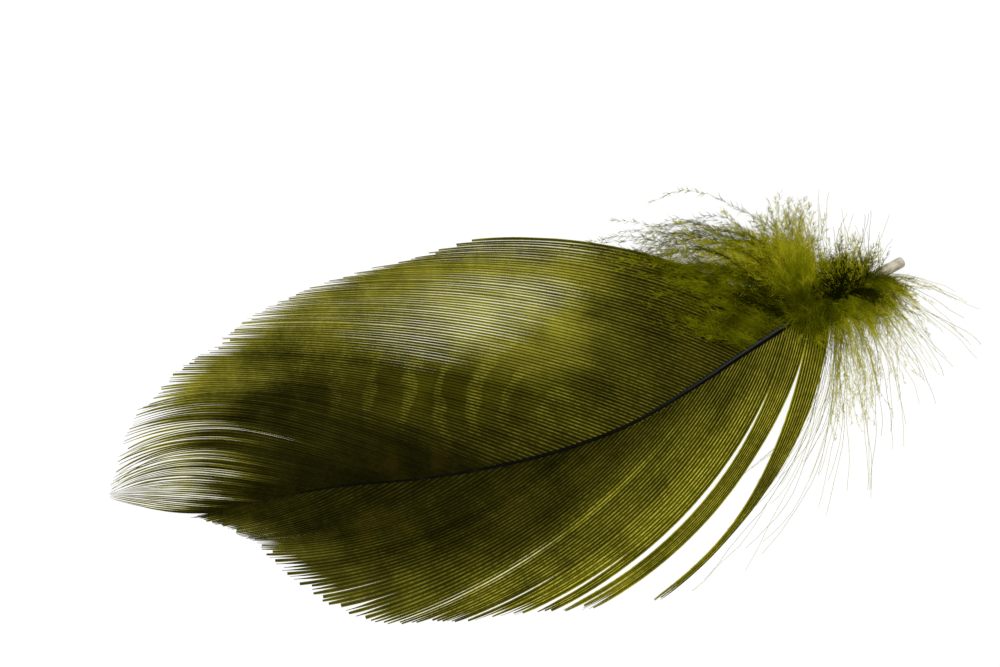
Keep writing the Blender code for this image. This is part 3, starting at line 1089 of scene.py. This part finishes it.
def add_hairs(soup, rng, paths, length, spacing, hair, width, strand, depth):
    """Fine hairs on both sides of every strand, each a curled ribbon that ends in a point."""
    count, steps = paths.shape[:2]
    tangent, across = level_across(paths)
    per_strand = np.maximum((length[:, 0] / spacing).astype(int), 2)
    which = np.repeat(np.arange(count), per_strand)
    where = rng.uniform(0.03, 1.0, len(which))
    side = rng.choice((-1.0, 1.0), len(which))[:, None]
    at = where * (steps - 1)
    low = np.minimum(at.astype(int), steps - 2)
    part = (at - low)[:, None]

    def along(rows):
        return rows[which, low] * (1 - part) + rows[which, low + 1] * part

    base, forward, out = along(paths), unit(along(tangent)), unit(along(across))
    tilt = rng.uniform(-1.0, 1.0, (len(which), 1))
    outward = unit(out * side * np.cos(tilt) + np.array((0, 0, 1.0)) * np.sin(tilt))
    angle = np.radians(rng.uniform(12, 58, (len(which), 1)))
    bend = np.radians(rng.normal(-5, 14, (len(which), 1)))
    reach = hair * rng.uniform(0.35, 1.15, (len(which), 1)) * (1.08 - 0.70 * where[:, None])
    line = [base]
    for k in range(3):
        turned = angle + bend * k
        line.append(line[-1] + (forward * np.cos(turned) + outward * np.sin(turned)) * reach / 3)
    flat = unit(np.cross(line[1] - line[0], rng.normal(0, 1, (len(which), 3))))
    rows = []
    for point, left in zip(line, (0.5, 0.42, 0.28)):
        rows += [point - flat * width * left, point + flat * width * left]
    points = np.stack([*rows, line[3]], axis=1)
    points[..., 2] = np.clip(points[..., 2], LOWEST_WEB, HAIR_TOP)
    start = np.arange(len(which))[:, None] * len(PALER)
    shade = np.clip(0.5 * strand[which] + rng.uniform(0, 0.5, len(which)), 0, 1)
    soup.add(
        points,
        quads=np.concatenate([start + np.array((0, 1, 3, 2)), start + np.array((2, 3, 5, 4))]),
        triangles=start + np.array((4, 5, 6)),
        depth=np.clip(depth[which, low][:, None] * PALER, 0, 1),
        strand=np.repeat(shade, len(PALER)),
    )


def make_down(name, patches, settings, dye, seed):
    """One piece of down, from rows of DOWN_PIECES: strands that carry fine hairs."""
    rng = np.random.default_rng(seed)
    soup = Soup("depth", "strand")
    for table, side, portion, stray, hair, broad, deep, thin in patches:
        count = int(settings.strands * portion)
        wavy, taper, sparse = (0.3, 0.35, 2.5) if hair < BARE_HAIRS else (1.0, 0.75, 1.0)
        if stray:
            paths, length, share = strand_paths(rng, DOWN[table], side, count, stray, wavy)
        else:
            paths, length, share = tangled_paths(rng, DOWN[table], side, count)
        strand = rng.uniform(0, 1, count)
        own = rng.uniform(0.5, 1.35, (count, 1))
        depth = np.clip((deep + (thin - deep) * ease(0.05, 0.75, share)) * own, 0, 1)
        add_strands(soup, paths, share, settings.strand_width / MM, taper, strand, depth * 0.9)
        spacing = settings.hair_gap / MM * sparse
        reach, wide = settings.hair_length / MM * hair, settings.hair_width / MM * broad
        add_hairs(soup, rng, paths, length, spacing, reach, wide, strand, depth)
    keep(soup.build(name, down_keratin(dye)))


def area_light(name, place, tilt, size, power):
    """A round soft light, tilted from looking straight down by degrees about X and Y."""
    data = bpy.data.lights.new(name, "AREA")
    data.shape = "DISK"
    data.size, data.energy = size, power
    light = linked(name, data)
    light.location = place
    light.rotation_euler = (*np.radians(tilt), 0)


class FEATHER_OT_shaft(bpy.types.Operator):
    """Add the feather's shaft and quill"""

    bl_idname = "feather.add_shaft"
    bl_label = "Add shaft"

    def execute(self, context):
        make_shaft(context.scene.feather_dye)
        return {"FINISHED"}


class FEATHER_OT_vane(bpy.types.Operator):
    """Add the barbs on one side of the shaft"""

    bl_idname = "feather.add_vane"
    bl_label = "Add vane"
    side: bpy.props.EnumProperty(
        name="Side",
        description="Side of the shaft",
        items=(("near", "Near", "The narrower side"), ("far", "Far", "The wider side")),
        default="near",
    )

    def execute(self, context):
        make_vane(self.side, context.scene.feather_barbs, context.scene.feather_dye)
        return {"FINISHED"}


class FEATHER_OT_down(bpy.types.Operator):
    """Add the patches of down round the quill"""

    bl_idname = "feather.add_down"
    bl_label = "Add down"

    def execute(self, context):
        settings, dye = context.scene.feather_down, context.scene.feather_dye
        for number, (name, patches) in enumerate(DOWN_PIECES.items()):
            make_down(name, patches, settings, dye, DOWN_SEED + number)
        return {"FINISHED"}


class FEATHER_OT_stage(bpy.types.Operator):
    """Add the white surface, the soft lights and the camera"""

    bl_idname = "feather.add_stage"
    bl_label = "Add stage"

    def execute(self, context):
        stage = context.scene.feather_stage
        half = stage.floor_size / 2
        mesh = bpy.data.meshes.new("surface")
        corners = [(-half, -half, 0), (half, -half, 0), (half, half, 0), (-half, half, 0)]
        mesh.from_pydata(corners, [], [(0, 1, 2, 3)])
        mesh.materials.append(surface_white())
        surface = linked("surface", mesh)
        surface.location.z = -0.02 * MM

        area_light("key", (0.1, 0.25, 0.9), (-15, 6), 0.7, stage.key_power)
        area_light("fill", (-0.6, -0.5, 0.7), (36, -40), 0.5, stage.key_power / 3)
        world = bpy.data.worlds.new("studio")
        world.use_nodes = True
        sky = world.node_tree.nodes["Background"]
        Shader(world.node_tree).fill(sky, {"Color": (1.0, 1.0, 1.0, 1.0), "Strength": 0.4})
        context.scene.world = world
        context.scene.view_settings.view_transform = "Standard"

        data = bpy.data.cameras.new("camera")
        data.lens = stage.lens
        data.sensor_width = 36.0
        camera = linked("camera", data)
        height = stage.view_width * stage.lens / data.sensor_width
        camera.location = (*VIEW_CENTRE * MM, height)
        camera.rotation_euler = (0.0, 0.0, stage.view_turn)
        context.scene.camera = camera
        return {"FINISHED"}


class FEATHER_PT_panel(bpy.types.Panel):
    bl_label = "Feather"
    bl_idname = "FEATHER_PT_panel"
    bl_space_type = "VIEW_3D"
    bl_region_type = "UI"
    bl_category = "Feather"

    def draw(self, context):
        scene = context.scene
        for heading, settings, operator in (
            ("Shaft", scene.feather_dye, "feather.add_shaft"),
            ("Vane", scene.feather_barbs, "feather.add_vane"),
            ("Down", scene.feather_down, "feather.add_down"),
            ("Stage", scene.feather_stage, "feather.add_stage"),
        ):
            box = self.layout.box()
            box.label(text=heading)
            for name in settings.__annotations__:
                box.prop(settings, name)
            box.operator(operator)


SETTINGS = {
    "feather_barbs": FeatherBarbs,
    "feather_down": FeatherDown,
    "feather_dye": FeatherDye,
    "feather_stage": FeatherStage,
}
CLASSES = (
    *SETTINGS.values(),
    FEATHER_OT_shaft,
    FEATHER_OT_vane,
    FEATHER_OT_down,
    FEATHER_OT_stage,
    FEATHER_PT_panel,
)


def register():
    for cls in CLASSES:
        bpy.utils.register_class(cls)
    for name, kind in SETTINGS.items():
        setattr(bpy.types.Scene, name, bpy.props.PointerProperty(type=kind))


def unregister():
    for name in SETTINGS:
        delattr(bpy.types.Scene, name)
    for cls in reversed(CLASSES):
        bpy.utils.unregister_class(cls)


def main():
    register()
    bpy.ops.feather.add_shaft()
    bpy.ops.feather.add_vane(side="near")
    bpy.ops.feather.add_vane(side="far")
    bpy.ops.feather.add_down()
    bpy.ops.feather.add_stage()


if __name__ == "__main__":
    main()
